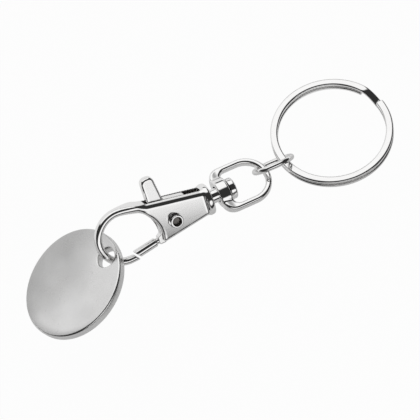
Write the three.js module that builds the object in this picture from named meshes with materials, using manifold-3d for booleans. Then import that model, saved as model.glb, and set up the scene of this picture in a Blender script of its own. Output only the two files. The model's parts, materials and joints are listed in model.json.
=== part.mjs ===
// A keyring: a snap hook with a sprung gate, a swivel eye, a jump ring, a split ring and a coin-sized token.
// Millimetres, +Z up. The hook's own frame has X along the swivel axis towards the eye, Y towards the
// thumb tab and Z along the gate's pivot, with its origin on the swivel axis at the root of the collar.

import * as THREE from "three";
import { mergeVertices } from "three/addons/utils/BufferGeometryUtils.js";
import Module from "manifold-3d";

const wasm = await Module();
wasm.setup();

// Shared values
const overrun = 1;
const seatGap = 0.15;
const runningGap = 0.25;
const bowThreadGap = 0.55;
const splitThreadGap = 0.45;

// Hook body: a flat-sided casting, deepest at the mouth, with a well rounded back
const bodyThickness = 4.15;
const mouthThickness = 3.96;
const bodyReach = 13.6;
const bodyInset = 1;
const backAtCollar = 2.8;
const backAtMouth = 5.19;
const bellyAtCollar = 2.58;
const bellyAtMouth = 4.68;
const backRound = 1.3;
const bellyRound = 0.6;
const cornerInset = 2.1;
const cornerRound = 0.45;

// Mouth: the round side of the opening, cut into the body with softened rims
const mouthRadius = 6.75;
const mouthCentreLead = 4.55;
const mouthCentreDrop = 2.39;
const mouthRound = 0.4;

// Hook arm: a flat strap that narrows into a nearly round bend and a nose
const armStartHeight = 4.15;
const armRise = 0.44;
const armLead = 2.3;
const crownLead = 2.2;
const bendLead = 5.25;
const bendRadius = 5.25;
const noseLength = 1.38;
const strapDepth = 1.8;
const strapWidth = 4;
const strapPower = 4;
const roundPower = 2;
const bendDepth = 1.62;
const bendWidth = 2.25;
const noseDepth = 1.36;
const noseWidth = 1.44;
const noseCutSize = 5;
const mouthLapAngle = 38;

// Collar bead at the swivel end
const collarRadius = 3.3;
const collarFront = 0.4;
const collarLength = 1.35;
const collarRound = 0.55;
const collarFootRadius = 1.9;
const collarFootReach = 2.4;
const collarWaistRadius = 2.15;
const collarRearAngle = 72;

// Slot in the body's back, open at the mouth and under the gate's neck
const slotFrontInset = 0.7;
const slotRearReach = 1.2;
const slotRearHeight = 2.2;
const slotPocketReach = 3;
const slotPocketDrop = 0.2;
const slotFloorWall = 0.95;
const slotFloorEndInset = 4.2;
const slotMouthHeight = 1.5;

// Gate lever
const gateThickness = 1.2;
const pivotShare = 0.603;
const pivotDrop = 0.57;
const pivotBossRadius = 1.75;
const webEdgeInset = 2.2;
const webEdgeDrop = 1.2;
const webShoulderInset = 1.6;
const webShoulderHeight = 1.4;
const webNeckInset = 1.3;
const webNeckDrop = 3.05;
const webKeelLength = 1.1;
const webKeelDrop = 4.6;
const webStepInset = 3.4;
const webStepDrop = 4.2;
const webFootInset = 3.75;
const webFootDrop = 2.6;
const heelShare = 0.331;
const heelLength = 1.7;
const heelBottom = 0.9;
const leverTopSink = 0.18;

// Thumb tab
const tabThickness = 1.95;
const tabEdgeRound = 0.3;
const tabFrontInset = 1.3;
const tabFootLength = 3.42;
const tabTopLength = 2.8;
const tabHeight = 9.62;
const tabTopRadius = 1.15;
const tabLeanAngle = 9;
const tabLift = 0.12;

// Gate finger
const fingerRadius = 0.925;
const fingerTilt = 9.4;
const fingerRootInset = 0.7;
const fingerRootDrop = 3.97;
const fingerNeckRadius = 0.66;
const fingerNeckLength = 1.3;
const fingerNeckBlend = 0.3;
const gateNoseGap = 0.45;

// Gate spring
const springWire = 0.3;
const springDiameter = 1.3;
const springTurns = 3;
const springShare = 0.386;

// Pivot rivet
const pivotShankRadius = 1.05;
const pivotHeadRadius = 1.36;
const pivotHeadFootRadius = 1.5;
const pivotHeadHeight = 1.05;
const pivotHeadRound = 0.35;
const pivotRecessRadius = 0.965;
const pivotRecessFloorRadius = 0.8;
const pivotRecessDepth = 1.1;
const pivotTailHeight = 0.55;

// Swivel rivet
const postRadius = 1.45;
const postInset = 1.95;
const hubGap = 1.65;
const buttonRadius = 2.2;
const buttonRimHeight = 0.85;
const buttonHeight = 1.42;
const buttonFlatRadius = 1.3;

// Swivel eye
const hubLength = 2.45;
const hubWidth = 6.2;
const hubDepth = 4.8;
const hubRound = 0.5;
const eyeBarWidth = 1.22;
const eyeBarDepth = 1.7;
const eyeBaseDepth = 2.3;
const eyeBarRound = 0.4;
const eyeWidth = 10.4;
const eyeLength = 11.8;
const eyeCornerRadius = 2.6;
const eyeInnerRadius = 1.2;
const eyeTurn = -50;

// Jump ring
const jumpDiameter = 9.1;
const jumpWire = 1.15;
const jumpSeam = 0.42;
const jumpSeamAngle = 228;

// Split ring
const splitDiameter = 24.8;
const splitWireWidth = 1.5;
const splitWireHeight = 0.78;
const splitWireRound = 0.22;
const splitTurnGap = 0.45;
const splitTurned = 696;
const splitStep = 6;
const splitRamp = 24;
const splitEndAngle = 36;

// Token
const tokenDiameter = 23.25;
const tokenThickness = 1.85;
const tokenBevel = 0.22;
const tokenHoleDiameter = 3.8;
const tokenHoleOffset = 8.75;
const tokenPlay = 0.22;

// How the chain lies: angles in degrees
const hookPitch = 9.2;
const hookRoll = 33.6;
const bowAngle = 13;
const jumpAngles = [123.25, 1.06, 0.5];
const splitWireAngle = 213.7;
const splitAngles = [-126.84, -3.4, -31.05];
const tokenWireAngle = 209.5;
const tokenAngles = [-66.26, -32.18, 167.8];

// Counts
const roundSteps = 5;
const beadSteps = 4;
const smallRoundSteps = 3;
const wireRoundSteps = 2;
const domeSteps = 7;
const turnedSteps = 40;
const discSteps = 72;
const sectionSteps = 24;
const bendSteps = 20;
const bowSteps = 24;
const cornerSteps = 5;
const jumpSteps = 40;
const wireSides = 12;
const springSides = 6;
const coilSteps = 12;

// Values worked out from the sizes above
const halfBody = bodyThickness / 2;
const mouthCentreReach = bodyReach + mouthCentreLead;
const bendReach = bodyReach + bendLead;
const noseCutReach = bendReach - noseLength;
const slotFloorEndReach = bodyReach - slotFloorEndInset;
const pivotReach = bodyReach * pivotShare;
const heelReach = bodyReach * heelShare;
const springReach = bodyReach * springShare;
const webNeckReach = bodyReach - webNeckInset;
const tabFrontReach = bodyReach - tabFrontInset;
const tabRearReach = tabFrontReach - tabFootLength;
const fingerRootReach = bodyReach - fingerRootInset;
const fingerLength = noseCutReach - fingerRootReach + 2 * fingerRadius;
const slotHalfWidth = gateThickness / 2 + runningGap;
const hubRear = collarFront + hubGap;
const hubFront = hubRear + hubLength;
const bowRadius = (eyeWidth - eyeBarWidth) / 2;
const bowCentre = hubRear + eyeLength - eyeWidth / 2;
const jumpRadius = (jumpDiameter - jumpWire) / 2;
const splitRadius = (splitDiameter - splitWireWidth) / 2;
const degrees = THREE.MathUtils.degToRad;

// A solid from vertex positions and triangles, turned to face outwards.
function closedSolid(positions, triangles) {
  const mesh = new wasm.Mesh({ numProp: 3, vertProperties: positions, triVerts: triangles });
  const made = new wasm.Manifold(mesh);
  if (made.volume() > 0) return made;
  return closedSolid(positions, triangles.slice().reverse());
}

// A solid from a three.js geometry.
function solid(geometry) {
  const plain = geometry.clone();
  plain.deleteAttribute("normal");
  plain.deleteAttribute("uv");
  const merged = mergeVertices(plain);
  return closedSolid(merged.attributes.position.array, new Uint32Array(merged.index.array));
}

// A solid skinned over a row of rings with equal point counts, capped at its ends.
function skinned(rings, closed = false) {
  const count = rings[0].length;
  const positions = new Float32Array(rings.flat().flatMap((point) => point.toArray()));
  const triangles = [];
  const spans = closed ? rings.length : rings.length - 1;
  for (let i = 0; i < spans; i++) {
    const near = i * count;
    const far = ((i + 1) % rings.length) * count;
    for (let j = 0; j < count; j++) {
      const next = (j + 1) % count;
      triangles.push(near + j, near + next, far + j);
      triangles.push(near + next, far + next, far + j);
    }
  }
  if (!closed) {
    const last = (rings.length - 1) * count;
    for (let j = 1; j < count - 1; j++) {
      triangles.push(0, j + 1, j);
      triangles.push(last, last + j, last + j + 1);
    }
  }
  return closedSolid(positions, new Uint32Array(triangles));
}

// A solid of revolution about Z from [radius, height] pairs that start and end on the axis.
function turned(profile, steps = turnedSteps) {
  const points = profile.map(([radius, height]) => new THREE.Vector2(radius, height));
  return solid(new THREE.LatheGeometry(points, steps).rotateX(Math.PI / 2));
}

// The same about X, with the profile's heights running along X.
function turnedAlongX(profile, steps = turnedSteps) {
  return turned(profile, steps).rotate([0, 90, 0]);
}

// An arc as pairs of places, from one angle to another in degrees.
function arc(centreA, centreB, radius, from, to, steps = roundSteps) {
  const pairs = [];
  for (let i = 0; i <= steps; i++) {
    const angle = degrees(from + ((to - from) * i) / steps);
    pairs.push([centreA + radius * Math.cos(angle), centreB + radius * Math.sin(angle)]);
  }
  return pairs;
}

// A flat plate of the given outline, lying evenly on both sides of Z = 0.
function plate(outline, thickness, edgeRound = 0) {
  const shape = new THREE.Shape(outline.map(([x, y]) => new THREE.Vector2(x, y)));
  const depth = thickness - 2 * edgeRound;
  const geometry = new THREE.ExtrudeGeometry(shape, {
    depth,
    bevelEnabled: edgeRound > 0,
    bevelThickness: edgeRound,
    bevelSize: edgeRound,
    bevelOffset: -edgeRound,
    bevelSegments: smallRoundSteps,
  });
  return solid(geometry.translate(0, 0, -depth / 2));
}

// The points of a rectangle with rounded corners, as pairs about its middle.
function roundedSection(width, height, radius, steps) {
  const x = width / 2 - radius;
  const y = height / 2 - radius;
  return [
    ...arc(x, y, radius, 0, 90, steps),
    ...arc(-x, y, radius, 90, 180, steps),
    ...arc(-x, -y, radius, 180, 270, steps),
    ...arc(x, -y, radius, 270, 360, steps),
  ];
}

// The points of an oval that grows squarer as its power rises above 2.
function ovalSection(width, height, power) {
  const pairs = [];
  for (let i = 0; i < sectionSteps; i++) {
    const angle = (2 * Math.PI * i) / sectionSteps;
    const across = Math.cos(angle);
    const up = Math.sin(angle);
    const x = (width / 2) * Math.sign(across) * Math.abs(across) ** (2 / power);
    const y = (height / 2) * Math.sign(up) * Math.abs(up) ** (2 / power);
    pairs.push([x, y]);
  }
  return pairs;
}

// The points of a round wire's section.
function wireSection(thickness, sides) {
  return arc(0, 0, thickness / 2, 0, 360 - 360 / sides, sides - 1);
}

// A section's pairs set out at a place, along two directions.
function setOut(pairs, place, along, up) {
  return pairs.map(([a, b]) => place.clone().addScaledVector(along, a).addScaledVector(up, b));
}

// The least distance between points of a wound piece whose rings lie at least so many rings apart.
function leastGap(rings, apart) {
  let least = Infinity;
  for (let i = 0; i + apart < rings.length; i++) {
    for (const point of rings[i]) {
      for (const other of rings.slice(i + apart).flat()) least = Math.min(least, point.distanceTo(other));
    }
  }
  return least;
}

// The body's height above or below the swivel axis, which grows evenly towards the mouth.
function edgeHeight(reach, atCollar, atMouth) {
  return atCollar + ((atMouth - atCollar) * (reach - bodyInset)) / (bodyReach - bodyInset);
}

function backHeight(reach) {
  return edgeHeight(reach, backAtCollar, backAtMouth);
}

function bellyDrop(reach) {
  return edgeHeight(reach, bellyAtCollar, bellyAtMouth);
}

// One cross-section of the body, with a wide round on the back and a small one on the belly.
function bodyRing(reach, belly, thickness) {
  const back = backHeight(reach);
  const half = thickness / 2;
  const pairs = [
    ...arc(half - backRound, back - backRound, backRound, 0, 90),
    ...arc(-half + backRound, back - backRound, backRound, 90, 180),
    ...arc(-half + bellyRound, -belly + bellyRound, bellyRound, 180, 270),
    ...arc(half - bellyRound, -belly + bellyRound, bellyRound, 270, 360),
  ];
  return pairs.map(([z, y]) => new THREE.Vector3(-reach, y, z));
}

function bodyBlock() {
  const rings = [bodyRing(bodyInset, bellyDrop(bodyInset), bodyThickness)];
  const cornerStart = bodyReach - cornerInset - cornerRound;
  const cornerBelly = bellyDrop(cornerStart);
  for (const [along, drop] of arc(0, 0, cornerRound, 90, 0)) {
    rings.push(bodyRing(cornerStart + along, cornerBelly - cornerRound + drop, bodyThickness));
  }
  rings.push(bodyRing(bodyReach, cornerBelly - cornerRound, mouthThickness));
  return skinned(rings);
}

// The cutter for the mouth: a drum whose radius swells towards the body's faces.
function mouthCutter() {
  const rim = halfBody - mouthRound;
  const flare = arc(mouthRadius + mouthRound, rim, mouthRound, 180, 90);
  const upper = [...flare, [mouthRadius + mouthRound, halfBody + overrun], [0, halfBody + overrun]];
  const lower = upper.map(([radius, height]) => [radius, -height]).reverse();
  return turned([...lower, ...upper], discSteps).translate([-mouthCentreReach, -mouthCentreDrop, 0]);
}

// A place on the arm's middle line with its direction: 0 to 1 along the strap, 1 to 2 round the
// bend and 2 to 3 along the nose.
function armPlace(stage) {
  if (stage <= 1) {
    const strap = new THREE.CubicBezierCurve(
      new THREE.Vector2(overrun - bodyReach, armStartHeight),
      new THREE.Vector2(overrun - bodyReach - armLead, armStartHeight + armRise),
      new THREE.Vector2(-bendReach + crownLead, bendRadius),
      new THREE.Vector2(-bendReach, bendRadius),
    );
    return { place: strap.getPoint(stage), way: strap.getTangent(stage) };
  }
  if (stage <= 2) {
    const angle = Math.PI / 2 + Math.PI * (stage - 1);
    const place = new THREE.Vector2(Math.cos(angle), Math.sin(angle)).multiplyScalar(bendRadius);
    place.x -= bendReach;
    return { place, way: new THREE.Vector2(-Math.sin(angle), Math.cos(angle)) };
  }
  const along = (noseLength + overrun) * (stage - 2);
  const place = new THREE.Vector2(-bendReach + along, -bendRadius);
  return { place, way: new THREE.Vector2(1, 0) };
}

function hookArm() {
  const strapShares = [0, 0.2, 0.35, 0.5, 0.65, 0.8, 0.9, 1];
  const bendShares = Array.from({ length: bendSteps }, (_, i) => 1 + (i + 1) / bendSteps);
  const noseShares = [2.5, 3];
  const narrowingShare = [0.3, 1.1];
  const rings = [...strapShares, ...bendShares, ...noseShares].map((stage) => {
    const { place, way } = armPlace(stage);
    const slimmed = THREE.MathUtils.smoothstep(stage, ...narrowingShare);
    const drawn = THREE.MathUtils.clamp((stage - 1) / 2, 0, 1);
    const width = THREE.MathUtils.lerp(THREE.MathUtils.lerp(strapWidth, bendWidth, slimmed), noseWidth, drawn);
    const depth = THREE.MathUtils.lerp(THREE.MathUtils.lerp(strapDepth, bendDepth, slimmed), noseDepth, drawn);
    const power = THREE.MathUtils.lerp(strapPower, roundPower, THREE.MathUtils.smoothstep(stage, 0, 1));
    const across = new THREE.Vector3(-way.y, way.x, 0);
    const centre = new THREE.Vector3(place.x, place.y, 0);
    return setOut(ovalSection(depth, width, power), centre, across, new THREE.Vector3(0, 0, 1));
  });
  return skinned(rings);
}

// A block whose one face lies on the slanting cut between the nose and the gate's finger.
function lapBlock(offset, side) {
  const block = solid(new THREE.BoxGeometry(noseCutSize, noseCutSize, noseCutSize));
  return block
    .translate([offset + (side * noseCutSize) / 2, 0, 0])
    .rotate([0, 0, mouthLapAngle])
    .translate([-noseCutReach, -bendRadius, 0]);
}

function collar() {
  const rear = collarFront - collarLength;
  const foot = new THREE.QuadraticBezierCurve(
    new THREE.Vector2(collarFootRadius, -collarFootReach),
    new THREE.Vector2(collarWaistRadius, rear),
    new THREE.Vector2(collarRadius - collarRound, rear),
  );
  const middle = collarRadius - collarRound;
  return turnedAlongX([
    [0, -collarFootReach],
    ...foot.getPoints(roundSteps).map((point) => [point.x, point.y]),
    ...arc(middle, rear + collarRound, collarRound, -collarRearAngle, 0, beadSteps),
    ...arc(middle, collarFront - collarRound, collarRound, 0, 90),
    [0, collarFront],
  ]);
}

// The slot that the gate swings in, from the back down to a floor that carries the spring.
function slotCutter() {
  const above = backAtMouth + overrun;
  const below = -bellyAtMouth - overrun;
  const floor = (reach) => -bellyDrop(reach) + slotFloorWall;
  const outline = [
    [slotFrontInset - bodyReach, above],
    [slotFrontInset - bodyReach, slotMouthHeight],
    [-bodyReach - overrun, slotMouthHeight],
    [-bodyReach - overrun, below],
    [-slotFloorEndReach, below],
    [-slotFloorEndReach, floor(slotFloorEndReach)],
    [-slotPocketReach, floor(slotPocketReach)],
    [-slotPocketReach, -slotPocketDrop],
    [-slotRearReach, slotRearHeight],
    [-slotRearReach, above],
  ];
  return plate(outline, 2 * slotHalfWidth);
}

// A plain round cutter about Z, between two heights.
function drill(radius, from, to) {
  return turned([
    [0, from],
    [radius, from],
    [radius, to],
    [0, to],
  ]);
}

function hookBody() {
  const boreEnd = collarFront - postInset - seatGap;
  const postBore = drill(postRadius + seatGap, boreEnd, collarFront + overrun).rotate([0, 90, 0]);
  const pivotBore = drill(pivotShankRadius + seatGap, -halfBody - overrun, halfBody + overrun);
  return bodyBlock()
    .subtract(mouthCutter())
    .add(hookArm())
    .add(collar())
    .subtract(lapBlock(0, 1))
    .subtract(slotCutter())
    .subtract(postBore)
    .subtract(pivotBore.translate([-pivotReach, -pivotDrop, 0]));
}

// The flat web of the gate: its heel over the spring, the pivot's boss and the neck of the finger.
function gateWeb() {
  const shape = new THREE.Shape();
  const tabFoot = backHeight(tabFrontReach) - leverTopSink;
  const bossBottom = -pivotDrop - pivotBossRadius;
  const edge = webEdgeInset - bodyReach;
  shape.moveTo(-tabFrontReach, tabFoot);
  shape.lineTo(webShoulderInset - bodyReach, webShoulderHeight);
  shape.quadraticCurveTo(edge, 0, edge, -webEdgeDrop);
  shape.quadraticCurveTo(edge, -webNeckDrop, -webNeckReach, -webNeckDrop);
  shape.lineTo(-webNeckReach, -webKeelDrop);
  shape.lineTo(webKeelLength - webNeckReach, -webKeelDrop);
  shape.lineTo(webStepInset - bodyReach, -webStepDrop);
  shape.lineTo(webFootInset - bodyReach, -webFootDrop);
  shape.lineTo(-pivotReach, bossBottom);
  shape.absarc(-pivotReach, -pivotDrop, pivotBossRadius, -Math.PI / 2, 0, false);
  shape.lineTo(-heelReach - heelLength, heelBottom);
  shape.lineTo(-heelReach, heelBottom);
  shape.lineTo(-heelReach, backHeight(heelReach) - leverTopSink);
  shape.lineTo(-tabRearReach, backHeight(tabRearReach) - leverTopSink);
  shape.lineTo(-tabRearReach, backHeight(tabRearReach) + tabLift + tabEdgeRound);
  shape.lineTo(-tabFrontReach, backHeight(tabFrontReach) + tabLift + tabEdgeRound);
  const outline = shape.extractPoints(roundSteps).shape.map((point) => [point.x, point.y]);
  return plate(outline, gateThickness);
}

// The thumb tab, thicker than the web, standing over the body's back.
function thumbTab() {
  const cornerHeight = tabHeight - tabTopRadius;
  const rearCorner = tabTopLength - tabFrontReach - tabTopRadius;
  const outline = [
    [-tabFrontReach, backHeight(tabFrontReach) + tabLift],
    [-tabRearReach, backHeight(tabRearReach) + tabLift],
    ...arc(rearCorner, cornerHeight, tabTopRadius, tabLeanAngle, 90),
    ...arc(tabTopRadius - tabFrontReach, cornerHeight, tabTopRadius, 90, 180),
  ];
  return plate(outline, tabThickness, tabEdgeRound);
}

// The finger about its own axis, running from a slim neck at Z = 0 to a plain round rod.
function fingerRod() {
  return turned([
    [0, -fingerNeckLength],
    [fingerNeckRadius, -fingerNeckLength],
    [fingerNeckRadius, -fingerNeckBlend],
    [fingerRadius, 0],
    [fingerRadius, fingerLength],
    [0, fingerLength],
  ])
    .rotate([0, -90, 0])
    .rotate([0, 0, fingerTilt])
    .translate([-fingerRootReach, -fingerRootDrop, 0]);
}

function gateLever() {
  const bore = drill(pivotShankRadius + runningGap, -gateThickness, gateThickness);
  return gateWeb()
    .add(thumbTab())
    .add(fingerRod().subtract(lapBlock(gateNoseGap, -1)))
    .subtract(bore.translate([-pivotReach, -pivotDrop, 0]));
}

// The small coil between the slot's floor and the gate's heel.
function gateSpring() {
  const middleRadius = (springDiameter - springWire) / 2;
  const highestFloor = slotFloorWall - bellyDrop(springReach - springDiameter / 2);
  const bottom = highestFloor + seatGap + springWire / 2;
  const top = heelBottom - seatGap - springWire / 2;
  const section = wireSection(springWire, springSides);
  const rings = [];
  for (let i = 0; i <= springTurns * coilSteps; i++) {
    const angle = (2 * Math.PI * i) / coilSteps;
    const outward = new THREE.Vector3(Math.cos(angle), 0, Math.sin(angle));
    const height = bottom + ((top - bottom) * i) / (springTurns * coilSteps);
    const centre = new THREE.Vector3(-springReach, height, 0).addScaledVector(outward, middleRadius);
    rings.push(setOut(section, centre, outward, new THREE.Vector3(0, 1, 0)));
  }
  console.log("gate spring, least gap to itself", leastGap(rings, coilSteps / 2).toFixed(2), "mm");
  return skinned(rings);
}

function pivotRivet() {
  const seat = halfBody + seatGap;
  const headTop = seat + pivotHeadHeight;
  const headMiddle = pivotHeadRadius - pivotHeadRound;
  const recessFloor = headTop - pivotRecessDepth;
  return turned([
    [0, -seat - pivotTailHeight],
    ...arc(headMiddle, -seat - pivotTailHeight + pivotHeadRound, pivotHeadRound, -90, 0, smallRoundSteps),
    [pivotHeadRadius, -seat],
    [pivotShankRadius, -seat],
    [pivotShankRadius, seat],
    [pivotHeadFootRadius, seat],
    ...arc(headMiddle, headTop - pivotHeadRound, pivotHeadRound, 0, 90, smallRoundSteps),
    [pivotRecessRadius, headTop],
    [pivotRecessFloorRadius, recessFloor],
    [0, recessFloor],
  ]).translate([-pivotReach, -pivotDrop, 0]);
}

function swivelRivet() {
  const seat = hubFront + seatGap;
  const dome = new THREE.CubicBezierCurve(
    new THREE.Vector2(buttonRadius, seat + buttonRimHeight),
    new THREE.Vector2(buttonRadius, seat + buttonHeight),
    new THREE.Vector2(buttonFlatRadius, seat + buttonHeight),
    new THREE.Vector2(0, seat + buttonHeight),
  );
  return turnedAlongX([
    [0, collarFront - postInset],
    [postRadius, collarFront - postInset],
    [postRadius, seat],
    [buttonRadius, seat],
    ...dome.getPoints(domeSteps).map((point) => [point.x, point.y]),
  ]);
}

// The eye's hub: a rounded boss, flattened along the eye's depth.
function eyeHub() {
  const middle = hubWidth / 2 - hubRound;
  return turnedAlongX([
    [0, hubRear],
    ...arc(middle, hubRear + hubRound, hubRound, -90, 0, beadSteps),
    ...arc(middle, hubFront - hubRound, hubRound, 0, 90, beadSteps),
    [0, hubFront],
  ]).scale([1, 1, hubDepth / hubWidth]);
}

// The D-shaped outline of the eye's rim or of its opening: a half-round bow, two sides and a base.
function eyeOutline(base, half, corner) {
  return [
    ...arc(bowCentre, 0, half, -90, 90, bowSteps),
    ...arc(base + corner, half - corner, corner, 90, 180, cornerSteps),
    ...arc(base + corner, corner - half, corner, 180, 270, cornerSteps),
  ];
}

// The loop fills the space between two such outlines, wider and deeper along its base.
function eyeLoop() {
  const rim = eyeOutline(hubRear, eyeWidth / 2, eyeCornerRadius);
  const opening = eyeOutline(hubFront, eyeWidth / 2 - eyeBarWidth, eyeInnerRadius);
  const rings = rim.map(([x, y], i) => {
    const outer = new THREE.Vector3(x, y, 0);
    const inner = new THREE.Vector3(...opening[i], 0);
    const outward = outer.clone().sub(inner);
    const towardsBase = 1 - THREE.MathUtils.smoothstep(x, hubRear, hubRear + eyeCornerRadius);
    const depth = THREE.MathUtils.lerp(eyeBarDepth, eyeBaseDepth, towardsBase);
    const section = roundedSection(outward.length(), depth, eyeBarRound, smallRoundSteps);
    return setOut(section, outer.add(inner).divideScalar(2), outward.normalize(), new THREE.Vector3(0, 0, 1));
  });
  return skinned(rings, true);
}

function swivelEye() {
  const bore = drill(postRadius + runningGap, hubRear - overrun, hubFront + overrun);
  return eyeLoop().add(eyeHub()).subtract(bore.rotate([0, 90, 0]));
}

// The jump ring lies in the XY plane of its group, whose origin is where the bow passes through it.
function jumpRing() {
  const seamHalf = THREE.MathUtils.radToDeg(jumpSeam / 2 / jumpRadius);
  const section = wireSection(jumpWire, wireSides);
  const line = arc(0, 0, 1, jumpSeamAngle + seamHalf, jumpSeamAngle + 360 - seamHalf, jumpSteps);
  const rings = line.map(([x, y]) => {
    const outward = new THREE.Vector3(x, y, 0);
    const centre = outward.clone().multiplyScalar(jumpRadius);
    return setOut(section, centre, outward, new THREE.Vector3(0, 0, 1));
  });
  return skinned(rings);
}

// The split ring: flattened wire wound twice, stepping down from its upper turn in a short ramp.
function splitRing() {
  const section = roundedSection(splitWireWidth, splitWireHeight, splitWireRound, wireRoundSteps);
  const layer = (splitWireHeight + splitTurnGap) / 2;
  const rings = [];
  for (let turnedSoFar = 0; turnedSoFar <= splitTurned; turnedSoFar += splitStep) {
    const angle = degrees(splitEndAngle - turnedSoFar);
    const sunk = THREE.MathUtils.smoothstep(turnedSoFar, 360 - splitRamp, 360);
    const outward = new THREE.Vector3(Math.cos(angle), Math.sin(angle), 0);
    const centre = outward.clone().multiplyScalar(splitRadius);
    centre.z = layer - 2 * layer * sunk;
    rings.push(setOut(section, centre, outward, new THREE.Vector3(0, 0, 1)));
  }
  console.log("split ring, least gap to itself", leastGap(rings, 180 / splitStep).toFixed(2), "mm");
  return skinned(rings);
}

// The token: a bare disc with softened rims, its hole's middle at the origin and its front at Z = 0.
function tokenDisc() {
  const radius = tokenDiameter / 2;
  const holeRadius = tokenHoleDiameter / 2;
  const disc = turned(
    [
      [0, -tokenThickness],
      [radius - tokenBevel, -tokenThickness],
      [radius, -tokenThickness + tokenBevel],
      [radius, -tokenBevel],
      [radius - tokenBevel, 0],
      [0, 0],
    ],
    discSteps,
  );
  const hole = turned([
    [0, -tokenThickness - overrun],
    [holeRadius + tokenBevel + overrun, -tokenThickness - overrun],
    [holeRadius, -tokenThickness + tokenBevel],
    [holeRadius, -tokenBevel],
    [holeRadius + tokenBevel + overrun, overrun],
    [0, overrun],
  ]);
  return disc.translate([tokenHoleOffset, 0, 0]).subtract(hole);
}

// A named mesh from a solid.
function piece(name, made, color, roughness) {
  const { vertProperties, triVerts } = made.getMesh();
  const geometry = new THREE.BufferGeometry();
  geometry.setAttribute("position", new THREE.BufferAttribute(vertProperties, 3));
  geometry.setIndex(new THREE.BufferAttribute(triVerts, 1));
  geometry.computeVertexNormals();
  const material = new THREE.MeshStandardMaterial({ color, roughness, metalness: 1 });
  const mesh = new THREE.Mesh(geometry, material);
  mesh.name = name;
  return mesh;
}

function turnGroup(group, angles) {
  group.rotation.set(...angles.map((angle) => degrees(angle)));
}

// The chain as it lies: the hook leans on its side between the token and the split ring.
function keyring() {
  const hook = new THREE.Group();
  hook.rotation.set(degrees(hookRoll), degrees(hookPitch), 0, "YXZ");
  hook.add(piece("hook_body", hookBody(), 0xd8d8d6, 0.12));
  hook.add(piece("gate_lever", gateLever(), 0xdadad8, 0.14));
  hook.add(piece("gate_spring", gateSpring(), 0xb4b4b2, 0.3));
  hook.add(piece("pivot_rivet", pivotRivet(), 0xdcdcda, 0.14));
  hook.add(piece("swivel_rivet", swivelRivet(), 0xdcdcda, 0.1));

  const token = new THREE.Group();
  const tokenReach = bendRadius + tokenPlay;
  const tokenAngle = degrees(tokenWireAngle);
  token.position.set(tokenReach * Math.cos(tokenAngle) - bendReach, tokenReach * Math.sin(tokenAngle), 0);
  turnGroup(token, tokenAngles);
  token.add(piece("token_disc", tokenDisc(), 0xc4c4c2, 0.22));
  hook.add(token);

  const eye = new THREE.Group();
  turnGroup(eye, [eyeTurn, 0, 0]);
  eye.add(piece("swivel_eye", swivelEye(), 0xd8d8d6, 0.12));
  hook.add(eye);

  const jump = new THREE.Group();
  const bow = degrees(bowAngle);
  const jumpReach = jumpRadius - jumpWire / 2 - bowThreadGap - eyeBarWidth / 2;
  const splitReach = jumpRadius - jumpWire / 2 - splitThreadGap - splitWireWidth / 2;
  jump.position.set(bowCentre + bowRadius * Math.cos(bow), bowRadius * Math.sin(bow), 0);
  turnGroup(jump, jumpAngles);
  const jumpMesh = piece("jump_ring", jumpRing(), 0xd4d4d2, 0.12);
  jumpMesh.position.x = jumpReach;
  jump.add(jumpMesh);
  eye.add(jump);

  const split = new THREE.Group();
  split.position.x = jumpReach + splitReach;
  turnGroup(split, splitAngles);
  const splitMesh = piece("split_ring", splitRing(), 0xd0d0ce, 0.16);
  const wire = degrees(splitWireAngle);
  splitMesh.position.set(-splitRadius * Math.cos(wire), -splitRadius * Math.sin(wire), 0);
  split.add(splitMesh);
  jump.add(split);
  return hook;
}

// The whole part rests on Z = 0 with the middle of its bounding box over the origin.
const chain = keyring();
chain.updateMatrixWorld(true);
const bounds = new THREE.Box3().setFromObject(chain, true);
const middle = bounds.getCenter(new THREE.Vector3());
chain.position.set(-middle.x, -middle.y, -bounds.min.z);

const part = new THREE.Group();
part.add(chain);

export default part;
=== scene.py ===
"""The looks of a keyring: its snap hook, swivel eye, rings and token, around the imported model.

Shapes are worked out in millimetres in each piece's own frame, as in the part's source, and
put in place in metres. The hook's frame has X along the swivel axis, Y towards the thumb tab
and Z along the gate's pivot.
"""

import json
from math import cos, degrees, pi, radians, sin

import bpy
import numpy as np
from mathutils import Matrix, Vector


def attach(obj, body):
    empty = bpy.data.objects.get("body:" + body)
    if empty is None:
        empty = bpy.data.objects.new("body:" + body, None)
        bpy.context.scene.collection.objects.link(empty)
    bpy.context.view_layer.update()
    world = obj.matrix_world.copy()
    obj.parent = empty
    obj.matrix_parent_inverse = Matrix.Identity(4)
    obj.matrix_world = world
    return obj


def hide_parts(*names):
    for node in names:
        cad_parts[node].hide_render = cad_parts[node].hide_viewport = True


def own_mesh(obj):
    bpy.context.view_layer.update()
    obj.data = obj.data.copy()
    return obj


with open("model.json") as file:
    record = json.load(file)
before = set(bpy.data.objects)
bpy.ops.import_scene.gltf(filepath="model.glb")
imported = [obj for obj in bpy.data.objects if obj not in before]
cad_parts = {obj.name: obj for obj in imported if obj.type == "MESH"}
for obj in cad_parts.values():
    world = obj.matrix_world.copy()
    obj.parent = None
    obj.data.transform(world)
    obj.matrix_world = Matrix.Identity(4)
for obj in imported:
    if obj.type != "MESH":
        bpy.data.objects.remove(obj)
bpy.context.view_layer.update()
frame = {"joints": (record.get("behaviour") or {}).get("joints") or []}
MM = 0.001

# The camera: its angle, distance and scale, and the pixel where the hook's origin shows
CAMERA_AZIMUTH = -26.17
CAMERA_ELEVATION = 78.3
CAMERA_DISTANCE = 0.8
PIXELS_PER_MM = 5.02
IMAGE_SIZE = 420
HOOK_PIXEL = (207.5, 198.8)
SENSOR_WIDTH = 36
CAMERA_SIGHT = 10

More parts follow.
